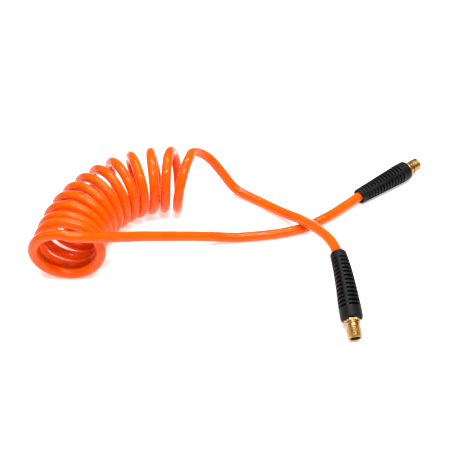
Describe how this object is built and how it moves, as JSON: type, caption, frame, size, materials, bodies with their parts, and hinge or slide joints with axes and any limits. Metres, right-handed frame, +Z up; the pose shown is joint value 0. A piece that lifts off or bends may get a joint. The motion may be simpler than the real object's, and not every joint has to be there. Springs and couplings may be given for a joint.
{
  "type": "coiled air hose",
  "caption": "Coiled polyurethane air hose with a slotted bend guard and a swivelling male pipe-thread nipple on each end, laid with its coil bent through about a quarter turn.",
  "frame": {"origin": "centre of the bounding box at the surface that the hose lies on", "axes": "+Z up; +X from the coil towards the two fittings, along the longest extent; +Y away from the end that lies in front (end a)"},
  "size_m": [0.3984, 0.2542, 0.0729],
  "materials": {
    "hose": "gloss",
    "guard": "matte",
    "brass": "satin",
    "seal": "satin",
    "washer": "matte",
    "ring": "satin"
  },
  "bodies": {
    "coil": {"hose_coil": "hose", "hose_lead_b": "hose", "hose_end_b": "hose", "guard_b": "guard", "ferrule_b": "brass", "stem_b": "brass", "o_ring_b": "seal", "thrust_washer_b": "washer"},
    "lead_a": {"hose_lead_a": "hose", "hose_end_a": "hose", "guard_a": "guard", "ferrule_a": "brass", "stem_a": "brass", "o_ring_a": "seal", "thrust_washer_a": "washer"},
    "swivel_a": {"nipple_a": "brass", "retaining_ring_a": "ring"},
    "swivel_b": {"nipple_b": "brass", "retaining_ring_b": "ring"}
  },
  "joints": [
    {"name": "recoil_stretch", "type": "slide", "parent": "coil", "child": "lead_a", "axis": [0.9563, 0, 0.2924], "range_m": [0, 0.2], "stiffness_N_per_m": 12, "deforming": ["hose_coil"]},
    {"name": "swivel_a_turn", "type": "hinge", "parent": "lead_a", "child": "swivel_a", "pos_m": [0.10217, -0.10524, 0.01512], "axis": [0.113, -0.9203, -0.3746], "continuous": true},
    {"name": "swivel_b_turn", "type": "hinge", "parent": "coil", "child": "swivel_b", "pos_m": [0.17771, 0.10689, 0.01077], "axis": [0.798, 0.6014, 0.0384], "continuous": true}
  ]
}
